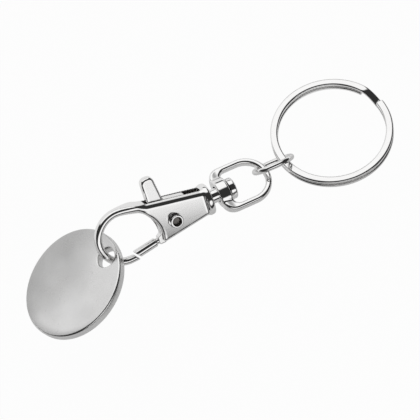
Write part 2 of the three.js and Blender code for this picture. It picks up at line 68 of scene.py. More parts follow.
# The edges' rounds and the fillets of the castings
COLLAR_FILLET = 0.6
SLOT_EDGE = 0.06
SLOT_CORNER_ROUND = 0.1
LAP_EDGE = 0.12
BORE_EDGE = 0.08
HIDDEN_EDGE = 0.05
POST_BORE_EDGE = 0.1
WEB_EDGE = 0.08
TAB_FILLET = 0.1
FINGER_EDGE = 0.12
FINGER_FILLET = 0.12
FINGER_LAP_EDGE = 0.1
NECK_FILLET = 0.1
HUB_FILLET = 0.2

# Hook body
BODY_THICKNESS = 4.15
MOUTH_THICKNESS = 3.96
BODY_REACH = 13.6
BODY_INSET = 1.0
BODY_RUN_ON = 6
BACK_AT_COLLAR = 2.8
BACK_AT_MOUTH = 5.19
BELLY_AT_COLLAR = 2.58
BELLY_AT_MOUTH = 4.68
BACK_ROUND = 1.3
BELLY_ROUND = 0.6
SIDE_CROWN = 0.0055
MOUTH_RADIUS = 6.75
MOUTH_CENTRE = (-18.15, -2.39)
MOUTH_ROUND = 0.7

# Hook arm. It blends out of the body between two reaches, and it grows slim and round between two
# stages of its line
ARM_START = (-12.6, 4.1)
ARM_RISE = 0.44
ARM_BLEND = (12.7, 15.6)
ARM_LEAD = 2.3
CROWN_LEAD = 2.2
ARM_SLIMS = (0.3, 1.1)
ARM_ROUNDS = (0, 1.1)
ARM_ROUND_SHARE = 0.98
ARM_END = 0.1
BEND_REACH = 18.85
BEND_RADIUS = 5.25
NOSE_LENGTH = 1.38
NOSE_OVERRUN = 1
STRAP_DEPTH = 1.8
STRAP_WIDTH = 3.96
BEND_DEPTH = 1.62
BEND_WIDTH = 2.15
NOSE_DEPTH = 1.36
NOSE_WIDTH = 1.44
STRAP_INNER_ROUND = 0.35
LAP_ANGLE = 38
LAP_SIZE = 5.0

# Collar
COLLAR_RADIUS = 3.3
COLLAR_FRONT = 0.4
COLLAR_LENGTH = 1.35
COLLAR_ROUND = 0.55

# Slot: its outline along the swivel axis and up, and where its walls get painted shade and a
# rougher finish
SLOT_HALF_WIDTH = 1.12
SLOT_OUTLINE = [
    (-12.9, 6.6),
    (-12.9, 1.5),
    (-14.6, 1.5),
    (-14.6, -6.0),
    (-9.4, -6.0),
    (-9.4, -2.98),
    (-3.0, -1.96),
    (-3.0, -0.2),
    (-1.2, 2.2),
    (-1.2, 6.6),
]
SLOT_SHADE_MARGIN = 0.12
SLOT_SHADE_DEPTH = (0.02, 0.1)
SLOT_SHADE_DROP = 0.3

# Gate
PIVOT_REACH = 8.2
PIVOT_DROP = 0.57
PIVOT_BOSS = 1.75
GATE_THICKNESS = 1.64
LEVER_SINK = 0.18
HEEL_REACH = 4.5
HEEL_LENGTH = 1.7
HEEL_BOTTOM = 0.9
WEB_FRONT = [
    (-12.0, 1.4),
    (-11.5, 0.4),
    (-11.4, -1.2),
    (-11.55, -2.6),
    (-12.3, -3.05),
    (-12.3, -4.6),
    (-11.2, -4.6),
    (-10.2, -4.2),
    (-9.85, -2.6),
]
GATE_BORE_GAP = 0.25
TAB_THICKNESS = 1.95
TAB_ROUND = 0.55
TAB_FRONT_REACH = 12.3
TAB_FOOT_LENGTH = 3.42
TAB_TOP_LENGTH = 2.8
TAB_HEIGHT = 9.62
TAB_TOP_RADIUS = 1.15
TAB_LEAN = 9
TAB_SINK = 0.5
FINGER_RADIUS = 0.925
FINGER_TILT = 9.4
FINGER_ROOT = (-12.9, -3.97)
FINGER_LENGTH = 6.42
FINGER_NECK_RADIUS = 0.66
FINGER_NECK_LENGTH = 1.3
FINGER_NECK_SINK = 0.3
NOSE_GAP = 0.45

# Rivets
AXIS_RADIUS = 0.001
SEAT_GAP = 0.15
SEAT_ROUND = 0.06
SHANK_ROUND = 0.04
PIVOT_SHANK = 1.05
PIVOT_HEAD = 1.36
PIVOT_HEAD_FOOT = 1.5
PIVOT_HEAD_HEIGHT = 1.05
PIVOT_HEAD_ROUND = 0.35
PIVOT_RECESS = 0.965
PIVOT_RECESS_EDGE = 0.08
PIVOT_RECESS_FLOOR = 0.8
PIVOT_RECESS_DEPTH = 1.1
PIVOT_FLOOR_ROUND = 0.15
# Where the recess in the pivot rivet's head gets painted shade and a rougher finish
PIVOT_SHADE_MARGIN = 0.02
PIVOT_SHADE_FADE = 0.06
PIVOT_TAIL = 0.55
PIVOT_TAIL_ROUND = 0.3
POST_RADIUS = 1.45
POST_INSET = 1.95
POST_BORE_END = 3
POST_END_ROUND = 0.1
POST_HEAD_FILLET = 0.05
BUTTON_RADIUS = 2.2
BUTTON_RIM = 0.85
BUTTON_HEIGHT = 1.42
BUTTON_FLAT = 1.3
BUTTON_FOOT_ROUND = 0.12

# Swivel eye
HUB_REAR = 2.05
HUB_FRONT = 4.5
HUB_WIDTH = 6.2
HUB_DEPTH = 4.8
HUB_ROUND = 0.5
EYE_BAR_WIDTH = 1.22
EYE_BAR_DEPTH = 1.7
EYE_BASE_DEPTH = 2.3
EYE_BAR_ROUND = 0.52
EYE_WIDTH = 10.4
EYE_LENGTH = 11.8
EYE_CORNER = 2.6
EYE_INNER_CORNER = 1.2
EYE_TURN = -50
EYE_BORE_GAP = 0.25
EYE_BORE_OVERRUN = 1

# Spring
SPRING_WIRE = 0.3
SPRING_DIAMETER = 1.3
SPRING_TURNS = 3
SPRING_REACH = 5.25
SPRING_BOTTOM = -2.03
SPRING_TOP = 0.6

# Rings. A cut end is eased over its first two rings of points, which lie close together
END_EASES = (0.12, 0.035)
JUMP_DIAMETER = 9.1
JUMP_WIRE = 1.15
JUMP_SEAM = 0.42
JUMP_SEAM_ANGLE = 228
JUMP_EASE_ANGLE = 0.8
SPLIT_DIAMETER = 24.8
SPLIT_WIRE_WIDTH = 1.5
SPLIT_WIRE_HEIGHT = 0.78
SPLIT_WIRE_POWER = 3.2
SPLIT_TURN_GAP = 0.45
SPLIT_TURNED = 696
SPLIT_RAMP = 24
SPLIT_END_ANGLE = 36
SPLIT_EASE_ANGLE = 0.25
BOW_THREAD_GAP = 0.55
SPLIT_THREAD_GAP = 0.45

# Token
TOKEN_DIAMETER = 23.25
TOKEN_THICKNESS = 1.85
TOKEN_BEVEL = 0.38
TOKEN_HOLE = 3.94
TOKEN_HOLE_OFFSET = 8.75
TOKEN_PLAY = 0.22

# How the links lie, in degrees
BOW_ANGLE = 13
JUMP_ANGLES = (123.25, 1.06, 0.5)
SPLIT_WIRE_ANGLE = 213.7
SPLIT_ANGLES = (-126.84, -3.4, -31.05)
TOKEN_WIRE_ANGLE = 209.5
TOKEN_ANGLES = (-66.26, -32.18, 167.8)

# The castings' grids: two corners and a step, and how many times the surface is relaxed
BODY_GRID = ((-25.4, -6.8, -3.6), (0.8, 6.9, 3.6), 0.1, 3)
GATE_GRID = ((-19.6, -6.2, -1.3), (-4.2, 9.9, 1.3), 0.08, 2)
EYE_GRID = ((1.8, -5.5, -2.7), (14.2, 5.5, 2.7), 0.08, 2)

# Metals: how bright and how rough each one is, and how strong its relief is
CAST_CHROME = (0.95, 0.05)
TURNED_CHROME = (0.95, 0.045)
WIRE_PLATING = (0.94, 0.05)
SPRING_STEEL = (0.62, 0.22)
TOKEN_FINISH = (0.93, 0.2)
CAST_SATIN = 0.12
METAL_RELIEF = 0.16
TOKEN_RELIEF = 0.064

# Painted shade on the token: its colour darkens by a share, along a way and between two places on
# it in metres
TOKEN_DARKER = 0.35
TOKEN_WAY = (0.33, -0.93, -0.14)
TOKEN_FADE = (-0.015, -0.004)

# Plating. A noise is a scale for each metre, a detail and a roughness. A band is the two values
# between which a look fades in
CLOUD_NOISE = (160, 2.0)
CLOUD_BAND = (0.3, 0.75)
CLOUD_WARMTHS = (0.006, 0.012)
CLOUD_SHADE = 0.98
CLOUD_ROUGHER = 1.35
PIT_NOISE = (5200, 4.0, 0.7)
PIT_HEIGHT = 0.4
HAIRLINE_SCALE = (60, 2600, 2600)
HAIRLINE_NOISE = (1.6, 2.0)
HAIRLINE_BAND = (0.6, 0.72)
HAIRLINE_SHARE = 0.35
HAIRLINE_SHADE = 0.88
HAIRLINE_WARMTH = 0.01
HAIRLINE_ROUGHER = 0.06
HAIRLINE_HEIGHT = -0.6
SATIN_BAND = (0.985, 0.999)
SATIN_GRAIN = 0.06
# The noise that makes the edge of the token's painted shade uneven, its band, and how far it shifts
# that shade
SHADE_NOISE = (110, 1.0)
SHADE_NOISE_BAND = (0.3, 0.7)
SHADE_UNEVEN = 0.16
# Painted shade in the slot and the pivot rivet's recess: a dark warm grey, with a rougher finish
# there
HOLLOW_SHADE_LEVEL = 0.26
HOLLOW_SHADE_WARMTH = 0.1
DULL_ROUGHNESS = 0.42
RELIEF_DEPTH = 0.00001

# The floor, and the share of its white glow that the camera and the metal see. The metal sees
# less of it in front of the keyring than behind it
FLOOR_HALF = 1.5
FLOOR_LEVEL = 0.93
FLOOR_SEEN = 0.97
FLOOR_GLOW_BAND = (0.0, 0.016)
FLOOR_GLOW_SHARES = (0.3, 0.7)

# The studio's dark parts. Each is as dark as the product of its fades, and a fade runs along a
# way, between two places on it, from one darkness to another
STUDIO_DARK = 0.03
ACROSS = (0, 1, 0)
UP = (0, 0, 1)
LEFT = (-1, 0, 0)
BEHIND = (-0.5, 0.86, 0)
FRONT = (0.5, -0.87, 0)
DARK_PARTS = {
    "ceiling": (
        (ACROSS, -0.6, -0.48, 0.0, 1.0),
        (ACROSS, 0.42, 0.55, 1.0, 0.0),
        (UP, 0.2, 0.4, 0.0, 1.0),
    ),
    "room": ((FRONT, -0.1, 0.35, 0.0, 1.0), (UP, 0.3, 0.54, 1.0, 0.0)),
    "side": ((LEFT, 0.54, 0.7, 0.0, 1.0), (UP, 0.7, 0.85, 1.0, 0.0)),
    "door": ((LEFT, -0.68, -0.5, 1.0, 0.0), (UP, 0.6, 0.78, 1.0, 0.0)),
    "screen": ((BEHIND, 0.78, 0.93, 0.0, 0.2), (UP, 0.3, 0.5, 1.0, 0.0)),
    "skirting": ((UP, 0.1, 0.22, 1.0, 0.0), (BEHIND, 0.78, 0.93, 1.0, 0.3)),
}


def joint(name):
    return next(j for j in frame["joints"] if j["name"] == name)


def hook_matrix():
    """The hook's frame in metres, from the axes of the swivel and the gate."""
    x = Vector(joint("swivel_spin")["axis"])
    z = -Vector(joint("gate_hinge")["axis"])
    y = z.cross(x)
    matrix = Matrix((x, y, z)).transposed().to_4x4()
    matrix.translation = Vector(joint("swivel_spin")["pos_m"]) - x * COLLAR_FRONT * MM
    return matrix


def turned_frame(angles):
    """Turns about X, then the turned Y, then the turned Z."""
    turns = [Matrix.Rotation(radians(angle), 4, axis) for angle, axis in zip(angles, "XYZ")]
    return turns[0] @ turns[1] @ turns[2]


def shift(x, y):
    return Matrix.Translation(Vector((x, y, 0)) * MM)


# The frame of each piece, from the hook along the chain
HOOK = hook_matrix()
EYE = HOOK @ turned_frame((EYE_TURN, 0, 0))
BOW_RADIUS = (EYE_WIDTH - EYE_BAR_WIDTH) / 2
BOW_CENTRE = HUB_REAR + EYE_LENGTH - EYE_WIDTH / 2
JUMP_RADIUS = (JUMP_DIAMETER - JUMP_WIRE) / 2
SPLIT_RADIUS = (SPLIT_DIAMETER - SPLIT_WIRE_WIDTH) / 2
JUMP_REACH = JUMP_RADIUS - JUMP_WIRE / 2 - BOW_THREAD_GAP - EYE_BAR_WIDTH / 2
SPLIT_REACH = JUMP_RADIUS - JUMP_WIRE / 2 - SPLIT_THREAD_GAP - SPLIT_WIRE_WIDTH / 2
BOW_X = BOW_CENTRE + BOW_RADIUS * cos(radians(BOW_ANGLE))
BOW_Y = BOW_RADIUS * sin(radians(BOW_ANGLE))
JUMP_GROUP = EYE @ shift(BOW_X, BOW_Y) @ turned_frame(JUMP_ANGLES)
JUMP = JUMP_GROUP @ shift(JUMP_REACH, 0)
SPLIT_X = -SPLIT_RADIUS * cos(radians(SPLIT_WIRE_ANGLE))
SPLIT_Y = -SPLIT_RADIUS * sin(radians(SPLIT_WIRE_ANGLE))
SPLIT_GROUP = JUMP_GROUP @ shift(JUMP_REACH + SPLIT_REACH, 0) @ turned_frame(SPLIT_ANGLES)
SPLIT = SPLIT_GROUP @ shift(SPLIT_X, SPLIT_Y)
TOKEN_WIRE_X = (BEND_RADIUS + TOKEN_PLAY) * cos(radians(TOKEN_WIRE_ANGLE)) - BEND_REACH
TOKEN_WIRE_Y = (BEND_RADIUS + TOKEN_PLAY) * sin(radians(TOKEN_WIRE_ANGLE))
TOKEN = HOOK @ shift(TOKEN_WIRE_X, TOKEN_WIRE_Y) @ turned_frame(TOKEN_ANGLES)


def add_camera():
    azimuth = radians(CAMERA_AZIMUTH)
    elevation = radians(CAMERA_ELEVATION)
    back = Vector((sin(azimuth) * cos(elevation), -cos(azimuth) * cos(elevation), sin(elevation)))
    right = Vector((cos(azimuth), sin(azimuth), 0))
    up = back.cross(right)
    across = (IMAGE_SIZE / 2 - HOOK_PIXEL[0]) / PIXELS_PER_MM * MM
    along = (HOOK_PIXEL[1] - IMAGE_SIZE / 2) / PIXELS_PER_MM * MM
    target = HOOK.translation + right * across + up * along
    data = bpy.data.cameras.new("camera")
    data.sensor_width = SENSOR_WIDTH
    data.lens = SENSOR_WIDTH * CAMERA_DISTANCE / (IMAGE_SIZE / PIXELS_PER_MM * MM)
    data.clip_end = CAMERA_SIGHT
    camera = bpy.data.objects.new("camera", data)
    camera.location = target + back * CAMERA_DISTANCE
    camera.rotation_euler = (pi / 2 - elevation, 0, azimuth)
    bpy.context.scene.collection.objects.link(camera)
    bpy.context.scene.camera = camera


# Fields: a value below zero is inside the solid, and near the surface it is the distance in mm


def round_join(a, b, radius):
    """The union of two fields with a fillet of that radius between them."""
    near = np.hypot(np.maximum(radius - a, 0), np.maximum(radius - b, 0))
    return np.maximum(radius, np.minimum(a, b)) - near


def round_meet(a, b, radius):
    """What two fields share, with that radius on the edge between them."""
    near = np.hypot(np.maximum(radius + a, 0), np.maximum(radius + b, 0))
    return np.minimum(-radius, np.maximum(a, b)) + near


def round_cut(a, b, radius):
    return round_meet(a, -b, radius)


def slab(place, half):
    return np.abs(place) - half


def polygon_field(x, y, corners):
    """The signed distance to a closed outline in the XY plane."""
    nearest = np.inf
    odd = False
    for (ax, ay), (bx, by) in zip(corners, corners[1:] + corners[:1]):
        ex, ey = bx - ax, by - ay
        wx, wy = x - ax, y - ay
        share = np.clip((wx * ex + wy * ey) / (ex * ex + ey * ey), 0, 1)
        nearest = np.minimum(nearest, (wx - ex * share) ** 2 + (wy - ey * share) ** 2)
        above, below = y >= ay, y < by
        left = ex * wy > ey * wx
        odd = odd ^ ((above & below & left) | (~above & ~below & ~left))
    return np.where(odd, -1.0, 1.0) * np.sqrt(nearest)


def drum_field(along, out, low, high, radius, edge):
    """A round drum between two places along its axis."""
    return round_meet(out - radius, slab(along - (low + high) / 2, (high - low) / 2), edge)


def lap_field(x, y, z, offset, side):
    """A block on one side of the slanting cut between the nose and the gate's finger."""
    angle = radians(LAP_ANGLE)
    dx, dy = x + BEND_REACH - NOSE_LENGTH, y + BEND_RADIUS
    along = dx * cos(angle) + dy * sin(angle) - offset - side * LAP_SIZE / 2
    across = -dx * sin(angle) + dy * cos(angle)
    half = LAP_SIZE / 2
    return np.maximum(np.maximum(slab(along, half), slab(across, half)), slab(z, half))


def edge_height(reach, at_collar, at_mouth):
    return at_collar + (at_mouth - at_collar) * (reach - BODY_INSET) / (BODY_REACH - BODY_INSET)


def back_height(reach):
    return edge_height(reach, BACK_AT_COLLAR, BACK_AT_MOUTH)


def section_field(side, height, half, top, bottom, top_round, bottom_round):
    """A flat-sided section between two heights, with one round at its top and one at its bottom."""
    upper = height > (top - top_round + bottom + bottom_round) / 2
    radius = np.where(upper, top_round, bottom_round)
    up = np.where(upper, height - top, bottom - height) + radius
    over = np.abs(side) - half + radius
    corner = np.hypot(np.maximum(over, 0), np.maximum(up, 0))
    return np.minimum(np.maximum(over, up), 0) + corner - radius


def block_field(x, y, z):
    """The body's block: slightly crowned sides, a wide round on the back and a small one below."""
    reach = -x
    back = back_height(reach)
    belly = edge_height(np.minimum(reach, BODY_REACH), BELLY_AT_COLLAR, BELLY_AT_MOUTH)
    taper = (BODY_THICKNESS - MOUTH_THICKNESS) * np.clip(reach / BODY_REACH, 0, 1)
    crown = SIDE_CROWN * np.maximum(back - BACK_ROUND - y, 0) ** 2
    half = (BODY_THICKNESS - taper) / 2 - crown
    section = section_field(z, y, half, back, -belly, BACK_ROUND, BELLY_ROUND)
    half_length = (BODY_REACH + BODY_RUN_ON) / 2
    return np.maximum(section, slab(reach - half_length, half_length))


def cubic(a, b, c, d, t):
    """A place on the cubic curve with those four control points, at a share of its run."""
    rest = 1 - t
    return rest**3 * a + 3 * rest**2 * t * b + 3 * rest * t**2 * c + t**3 * d


def cubic_way(a, b, c, d, t):
    """The unit direction of the same curve there."""
    rest = 1 - t
    way = rest**2 * (b - a) + 2 * rest * t * (c - b) + t**2 * (d - c)
    return way / np.hypot(*way)


def arm_line(count=420):
    """Places, directions and stages along the arm.

    Stages 0 to 1 are the strap, 1 to 2 the bend and 2 to 3 the nose.
    """
    start = np.array(ARM_START)
    lead = start + (-ARM_LEAD, ARM_RISE)
    crown = np.array((CROWN_LEAD - BEND_REACH, BEND_RADIUS))
    top = np.array((-BEND_REACH, BEND_RADIUS))
    strap = (start, lead, crown, top)
    stages = np.linspace(0, 3, count)
    places, ways = [], []
    for stage in stages:
        if stage <= 1:
            places.append(cubic(*strap, stage))
            ways.append(cubic_way(*strap, stage))
        elif stage <= 2:
            angle = pi / 2 + pi * (stage - 1)
            out = np.array((cos(angle), sin(angle)))
            places.append(BEND_RADIUS * out - (BEND_REACH, 0))
            ways.append(np.array((-out[1], out[0])))
        else:
            run = (NOSE_LENGTH + NOSE_OVERRUN) * (stage - 2)
            places.append(np.array((-BEND_REACH + run, -BEND_RADIUS)))
            ways.append(np.array((1.0, 0.0)))
    return places, ways, stages


def smooth(value, low, high):
    share = np.clip((value - low) / (high - low), 0, 1)
    return share * share * (3 - 2 * share)


def mix(a, b, share):
    return a + (b - a) * share


def arm_field(x, y, z):
    """The arm: a strap that narrows into a nearly round bend and a nose."""
    nearest = np.full(np.broadcast(x, y).shape, np.inf)
    across, along, stage = nearest.copy(), nearest.copy(), nearest.copy()
    for place, way, here in zip(*arm_line()):
        dx, dy = x - place[0], y - place[1]
        distance = dx * dx + dy * dy
        closer = distance < nearest
        nearest = np.where(closer, distance, nearest)
        across = np.where(closer, dy * way[0] - dx * way[1], across)
        along = np.where(closer, dx * way[0] + dy * way[1], along)
        stage = np.where(closer, here, stage)
    slimmed = smooth(stage, *ARM_SLIMS)
    drawn = np.clip((stage - 1) / 2, 0, 1)
    width = mix(mix(STRAP_WIDTH, BEND_WIDTH, slimmed), NOSE_WIDTH, drawn) / 2
    depth = mix(mix(STRAP_DEPTH, BEND_DEPTH, slimmed), NOSE_DEPTH, drawn) / 2
    rounded = smooth(stage, *ARM_ROUNDS)
    outer = mix(BACK_ROUND, ARM_ROUND_SHARE * depth, rounded)
    inner = mix(STRAP_INNER_ROUND, ARM_ROUND_SHARE * depth, rounded)
    section = section_field(z, across, width, depth, -depth, outer, inner)
    return np.maximum(section, np.where(stage > 1, np.abs(along) - ARM_END, -1))


def pivot_bore_field(x, y, gap):
    return np.hypot(x + PIVOT_REACH, y + PIVOT_DROP) - PIVOT_SHANK - gap


def body_field(x, y, z):
    mouth = np.hypot(x - MOUTH_CENTRE[0], y - MOUTH_CENTRE[1]) - MOUTH_RADIUS
    solid = round_cut(block_field(x, y, z), mouth, MOUTH_ROUND)
    solid = mix(solid, arm_field(x, y, z), smooth(-x, *ARM_BLEND))
    rear = COLLAR_FRONT - COLLAR_LENGTH
    out = np.hypot(y, z)
    collar = drum_field(x, out, rear, COLLAR_FRONT, COLLAR_RADIUS, COLLAR_ROUND)
    solid = round_join(solid, collar, COLLAR_FILLET)
    outline = polygon_field(x, y, SLOT_OUTLINE)
    slot = round_meet(outline, slab(z, SLOT_HALF_WIDTH), SLOT_CORNER_ROUND)
    solid = round_cut(solid, slot, SLOT_EDGE)
    solid = round_cut(solid, lap_field(x, y, z, 0, 1), LAP_EDGE)
    floor = COLLAR_FRONT - POST_INSET - SEAT_GAP
    post_bore = drum_field(x, out, floor, POST_BORE_END, POST_RADIUS + SEAT_GAP, HIDDEN_EDGE)
    solid = round_cut(solid, post_bore, POST_BORE_EDGE)
    return round_cut(solid, pivot_bore_field(x, y, SEAT_GAP), BORE_EDGE)


def arc(centre_a, centre_b, radius, low, high, steps=12):
    angles = [radians(low + (high - low) * i / steps) for i in range(steps + 1)]
    return [(centre_a + radius * cos(a), centre_b + radius * sin(a)) for a in angles]


def below_back(reach, drop):
    """A corner at a reach along the body, that far below its back."""
    return -reach, back_height(reach) - drop


def web_outline():
    tab_rear = TAB_FRONT_REACH - TAB_FOOT_LENGTH
    corners = [below_back(TAB_FRONT_REACH, LEVER_SINK), *WEB_FRONT]
    corners += arc(-PIVOT_REACH, -PIVOT_DROP, PIVOT_BOSS, -90, 0)
    corners += [(-HEEL_REACH - HEEL_LENGTH, HEEL_BOTTOM), (-HEEL_REACH, HEEL_BOTTOM)]
    corners += [below_back(HEEL_REACH, LEVER_SINK), below_back(tab_rear, LEVER_SINK)]
    corners += [below_back(reach, TAB_SINK - TAB_ROUND) for reach in (tab_rear, TAB_FRONT_REACH)]
    return corners


def tab_outline():
    tab_rear = TAB_FRONT_REACH - TAB_FOOT_LENGTH
    corner = TAB_HEIGHT - TAB_TOP_RADIUS
    top_rear = TAB_TOP_LENGTH - TAB_FRONT_REACH - TAB_TOP_RADIUS
    corners = [below_back(TAB_FRONT_REACH, TAB_SINK), below_back(tab_rear, TAB_SINK)]
    corners += arc(top_rear, corner, TAB_TOP_RADIUS, TAB_LEAN, 90)
    corners += arc(TAB_TOP_RADIUS - TAB_FRONT_REACH, corner, TAB_TOP_RADIUS, 90, 180)
    return corners


def gate_field(x, y, z):
    web = round_meet(polygon_field(x, y, web_outline()), slab(z, GATE_THICKNESS / 2), WEB_EDGE)
    tab = round_meet(polygon_field(x, y, tab_outline()), slab(z, TAB_THICKNESS / 2), TAB_ROUND)
    tilt = radians(FINGER_TILT)
    dx, dy = x - FINGER_ROOT[0], y - FINGER_ROOT[1]
    along = -dx * cos(tilt) - dy * sin(tilt)
    out = np.hypot(dy * cos(tilt) - dx * sin(tilt), z)
    rod = drum_field(along, out, 0, FINGER_LENGTH, FINGER_RADIUS, FINGER_EDGE)
    root = -FINGER_NECK_LENGTH
    neck = drum_field(along, out, root, FINGER_NECK_SINK, FINGER_NECK_RADIUS, HIDDEN_EDGE)
    finger = round_join(rod, neck, NECK_FILLET)
    finger = round_cut(finger, lap_field(x, y, z, NOSE_GAP, -1), FINGER_LAP_EDGE)
    solid = round_join(round_join(web, tab, TAB_FILLET), finger, FINGER_FILLET)
    return round_cut(solid, pivot_bore_field(x, y, GATE_BORE_GAP), HIDDEN_EDGE)


def eye_outline(base, half, corner, steps=20):
    corners = arc(BOW_CENTRE, 0, half, -90, 90, 3 * steps)
    corners += arc(base + corner, half - corner, corner, 90, 180, steps)
    return corners + arc(base + corner, corner - half, corner, 180, 270, steps)


def eye_field(x, y, z):
    rim = polygon_field(x, y, eye_outline(HUB_REAR, EYE_WIDTH / 2, EYE_CORNER))
    inner_half = EYE_WIDTH / 2 - EYE_BAR_WIDTH
    opening = polygon_field(x, y, eye_outline(HUB_FRONT, inner_half, EYE_INNER_CORNER))
    towards_base = 1 - smooth(x, HUB_REAR, HUB_REAR + EYE_CORNER)
    depth = mix(EYE_BAR_DEPTH, EYE_BASE_DEPTH, towards_base)
    loop = round_meet(np.maximum(rim, -opening), slab(z, depth / 2), EYE_BAR_ROUND)
    out = np.hypot(y, z * HUB_WIDTH / HUB_DEPTH)
    hub = drum_field(x, out, HUB_REAR, HUB_FRONT, HUB_WIDTH / 2, HUB_ROUND)
    rear, front = HUB_REAR - EYE_BORE_OVERRUN, HUB_FRONT + EYE_BORE_OVERRUN
    bore = drum_field(x, np.hypot(y, z), rear, front, POST_RADIUS + EYE_BORE_GAP, HIDDEN_EDGE)
    return round_cut(round_join(loop, hub, HUB_FILLET), bore, BORE_EDGE)


def surface_net(field, low, high, step):
    """Vertices and quads of a field's surface, on a grid between two corners."""
    axes = [np.arange(a, b + step, step) for a, b in zip(low, high)]
    grid = np.meshgrid(*axes, indexing="ij", sparse=True)
    values = np.broadcast_to(field(*grid), [len(a) for a in axes])
    inside = values < 0
    offsets = [(i, j, k) for i in (0, 1) for j in (0, 1) for k in (0, 1)]
    cut = [slice(None, -1), slice(1, None)]
    held = sum(inside[cut[i], cut[j], cut[k]].astype(np.int8) for i, j, k in offsets)
    # Each cell that the surface cuts gets a vertex, in the middle of the places where it cuts edges
    cells = np.argwhere((held > 0) & (held < 8))
    corner = {offset: values[tuple((cells + offset).T)] for offset in offsets}
    total = np.zeros(cells.shape)
    count = np.zeros(len(cells))
    for axis in range(3):
        unit = np.eye(3, dtype=int)[axis]
        for offset in offsets:
            if offset[axis]:
                continue
            near, far = corner[offset], corner[tuple(np.array(offset) + unit)]
            crossed = (near < 0) != (far < 0)
            share = np.where(crossed, near / np.where(crossed, near - far, 1), 0)
            total += (np.array(offset) + share[:, None] * unit) * crossed[:, None]
            count += crossed
    vertices = np.array(low) + (cells + total / count[:, None]) * step
    ids = np.full([n - 1 for n in values.shape], -1)
    ids[tuple(cells.T)] = np.arange(len(cells))
    # Each cut edge of the grid gets a quad, between the vertices of the four cells around it
    quads = []
    for axis in range(3):
        second, third = np.eye(3, dtype=int)[[(axis + 1) % 3, (axis + 2) % 3]]
        start = [slice(1, -1)] * 3
        end = list(start)
        start[axis], end[axis] = slice(None, -1), slice(1, None)
        begins = inside[tuple(start)]
        inner = np.ones(3, int)
        inner[axis] = 0
        edges = np.argwhere(begins != inside[tuple(end)])
        leaving = begins[tuple(edges.T)]
        edges = edges + inner
        around = [edges - second - third, edges - third, edges, edges - second]
        quad = np.stack([ids[tuple(cell.T)] for cell in around], axis=1)
        quads.append(np.where(leaving[:, None], quad, quad[:, ::-1]))
    return vertices, np.concatenate(quads)


def relaxed(vertices, quads, rounds, share=0.5):
    """Each vertex moves a share of the way to the middle of its neighbours."""
    near = quads.ravel()
    far = np.roll(quads, -1, axis=1).ravel()
    ends, others = np.concatenate((near, far)), np.concatenate((far, near))
    degree = np.bincount(ends, minlength=len(vertices))[:, None]
    for _ in range(rounds):
        sums = [np.bincount(ends, vertices[others, axis], len(vertices)) for axis in range(3)]
        vertices = mix(vertices, np.stack(sums, axis=1) / degree, share)
    return vertices


def cast(field, low, high, step, rounds):
    """A casting's vertices and faces, from its field."""
    vertices, quads = surface_net(field, low, high, step)
    return relaxed(vertices, quads, rounds), quads


def skin(rings, closed=False):
    """Vertices and faces over a row of rings with equal point counts, capped at open ends."""
    rings = np.array(rings, float)
    count, sides = rings.shape[:2]
    spans = count if closed else count - 1
    faces = []
    for i in range(spans):
        near, far = i * sides, (i + 1) % count * sides
        for j in range(sides):
            k = (j + 1) % sides
            faces.append((near + j, near + k, far + k, far + j))
    if not closed:
        faces.append(tuple(reversed(range(sides))))
        faces.append(tuple(range((count - 1) * sides, count * sides)))
    return rings.reshape(-1, 3), faces


def softened(corners, steps=5):
    """Points along a profile of (radius, height, rounding) corners, with the corners rounded."""
    points = [corners[0][:2]]
    for before, here, after in zip(corners, corners[1:], corners[2:]):
        place = np.array(here[:2])
        if not here[2]:
            points.append(tuple(place))
            continue
        back = np.array(before[:2]) - place
        ahead = np.array(after[:2]) - place
        back, ahead = back / np.hypot(*back), ahead / np.hypot(*ahead)
        half = np.arccos(np.clip(back @ ahead, -1, 1)) / 2
        run = here[2] / np.tan(half)
        middle = (back + ahead) / np.hypot(*(back + ahead)) * here[2] / np.sin(half)
        first, last = back * run - middle, ahead * run - middle
        turn = np.arccos(np.clip(first @ last / here[2] ** 2, -1, 1))
        for i in range(steps + 1):
            turned = turn * i / steps
            spoke = np.sin(turn - turned) * first + np.sin(turned) * last
            points.append(tuple(place + middle + spoke / np.sin(turn)))
    points.append(corners[-1][:2])
    return points


def lathe(profile, steps=96):
    """A turned shape about Z from (radius, height) pairs, its ends closed on the axis."""
    angles = 2 * pi * np.arange(steps) / steps
    rings = [[(r * cos(a), r * sin(a), h) for a in angles] for r, h in profile]
    return skin(rings)


def about_x(vertices):
    """Turns a shape about Z into one about X."""
    return np.stack((vertices[:, 2], vertices[:, 1], -vertices[:, 0]), axis=1)


def placed(name, shape, matrix, body, node, material, shade_and_dull=None):
    """A smooth piece from vertices in mm and faces, put in place, riding on its body for its node.

    Where a mask of hollows is given, it says how far each vertex lies in a hollow whose colour gets
    painted shade and whose finish is rougher.
    """
    vertices, faces = shape
    turn = np.array(matrix.to_3x3())
    points = vertices @ turn.T * MM + np.array(matrix.translation)
    mesh = bpy.data.meshes.new(name)
    mesh.from_pydata(points.tolist(), [], [tuple(int(i) for i in face) for face in faces])
    mesh.update()
    mesh.shade_smooth()
    mesh.materials.append(material)
    if shade_and_dull is not None:
        attribute = mesh.attributes.new("shade_and_dull", "FLOAT", "POINT")
        attribute.data.foreach_set("value", shade_and_dull.astype(np.float32))
    piece = bpy.data.objects.new(name, mesh)
    bpy.context.scene.collection.objects.link(piece)
    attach(piece, body)
    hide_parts(node)
    return piece


